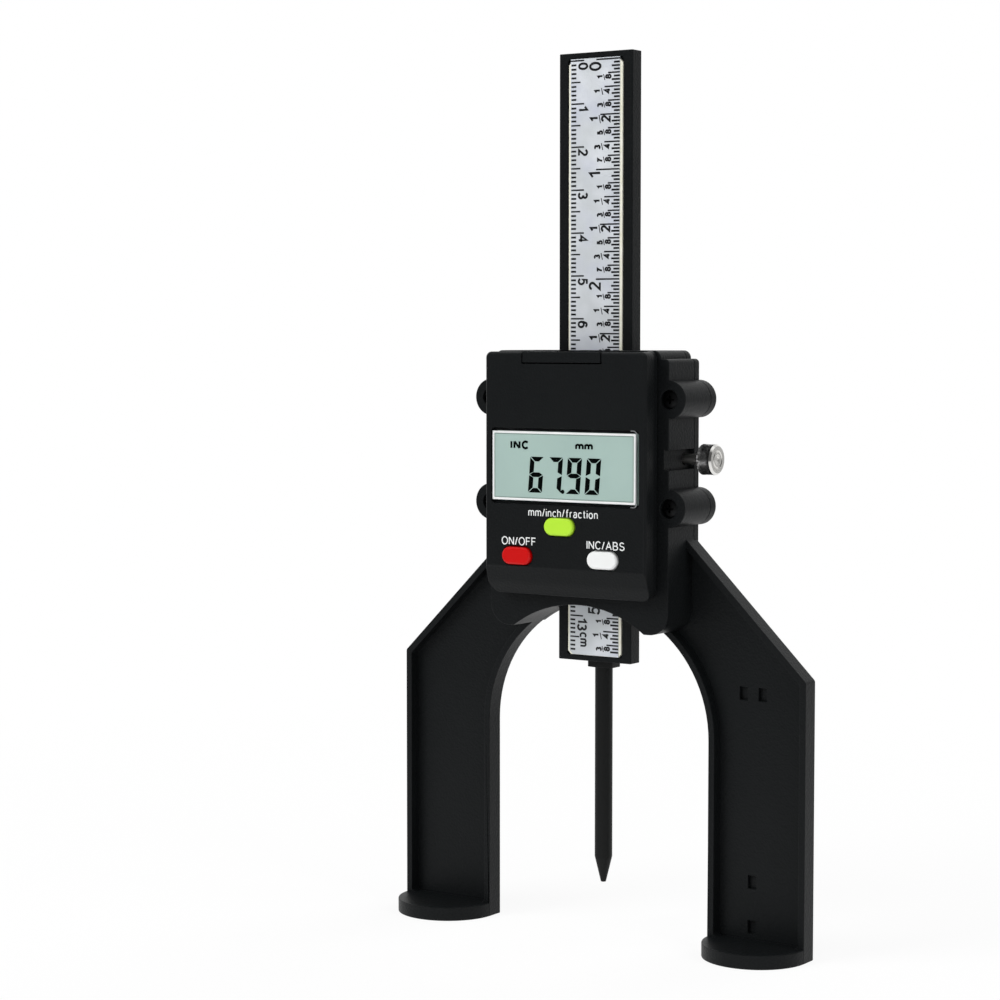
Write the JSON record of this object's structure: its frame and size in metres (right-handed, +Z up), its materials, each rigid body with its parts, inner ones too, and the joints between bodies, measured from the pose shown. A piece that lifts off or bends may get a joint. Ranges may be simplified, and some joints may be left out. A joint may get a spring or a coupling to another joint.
{
  "type": "digital depth gauge",
  "caption": "Digital depth gauge: display and buttons on a two-legged bridge stand, graduated beam with a probe sliding down between magnetic feet.",
  "frame": {"origin": "on the ground, at the middle of the gauge's width and depth", "axes": "+Z up along the beam's travel, +X to the right as the display is read, +Y to the back"},
  "size_m": [0.1106, 0.0213, 0.2075],
  "materials": {
    "black_abs": "satin moulded",
    "black_nylon": "satin moulded",
    "clear_acrylic": "polished",
    "lcd_glass": "satin",
    "conductive_rubber": "matte",
    "board_fr4": "solder mask",
    "header_pins": "plated",
    "chip_epoxy": "matte",
    "switch_metal": "bright",
    "contact_bronze": "bright",
    "cell_steel": "bright",
    "scale_fr4": "satin",
    "label_film": "satin silver print",
    "nickel_steel": "nickel plated",
    "brass_insert": "turned",
    "magnet_nickel": "nickel plated",
    "screw_steel": "black oxide",
    "button_red": "satin",
    "button_green": "satin",
    "button_white": "satin"
  },
  "bodies": {
    "stand": {"stand_frame": "black_abs", "rear_cover": "black_abs", "readout_housing": "black_abs", "display_window": "clear_acrylic", "lcd_panel": "lcd_glass", "lcd_connector": "conductive_rubber", "main_board": "board_fr4", "sensor_board": "board_fr4", "board_header": "header_pins", "controller_chip": "chip_epoxy", "button_switches": "switch_metal", "battery_contacts": "contact_bronze", "beam_spring": "contact_bronze", "lock_nut": "brass_insert", "left_magnet": "magnet_nickel", "right_magnet": "magnet_nickel", "case_screws": "screw_steel", "cover_screws": "screw_steel"},
    "beam": {"beam": "black_abs", "scale_board": "scale_fr4", "scale_label": "label_film"},
    "probe": {"probe": "black_nylon"},
    "on_off_button": {"on_off_button": "button_red"},
    "unit_button": {"unit_button": "button_green"},
    "mode_button": {"mode_button": "button_white"},
    "battery_tray": {"battery_tray": "black_abs", "coin_cell": "cell_steel"},
    "lock_shoe": {"lock_shoe": "brass_insert"},
    "lock_screw": {"lock_screw": "nickel_steel"}
  },
  "joints": [
    {"name": "beam_slide", "type": "slide", "parent": "stand", "child": "beam", "axis": [0, 0, 1], "range_m": [-0.0679, 0.0121]},
    {"name": "probe_release", "type": "slide", "parent": "beam", "child": "probe", "axis": [0, 1, 0], "range_m": [0, 0.005]},
    {"name": "battery_tray_slide", "type": "slide", "parent": "stand", "child": "battery_tray", "axis": [0, 0, 1], "range_m": [0, 0.024]},
    {"name": "on_off_button_press", "type": "slide", "parent": "stand", "child": "on_off_button", "axis": [0, 1, 0], "range_m": [0, 0.0005], "stiffness_N_per_m": 400},
    {"name": "unit_button_press", "type": "slide", "parent": "stand", "child": "unit_button", "axis": [0, 1, 0], "range_m": [0, 0.0005], "stiffness_N_per_m": 400},
    {"name": "mode_button_press", "type": "slide", "parent": "stand", "child": "mode_button", "axis": [0, 1, 0], "range_m": [0, 0.0005], "stiffness_N_per_m": 400},
    {"name": "lock_shoe_slide", "type": "slide", "parent": "stand", "child": "lock_shoe", "axis": [-1, 0, 0], "range_m": [-0.001, 0.00025]},
    {"name": "lock_screw_turn", "type": "hinge", "parent": "lock_shoe", "child": "lock_screw", "pos_m": [0.027, 0.0057, 0.1134], "axis": [-1, 0, 0], "range_deg": [-720, 180]}
  ],
  "couplings": [
    {"joint": "lock_screw_turn", "follows": "lock_shoe_slide", "rad_per_m": 12566}
  ]
}
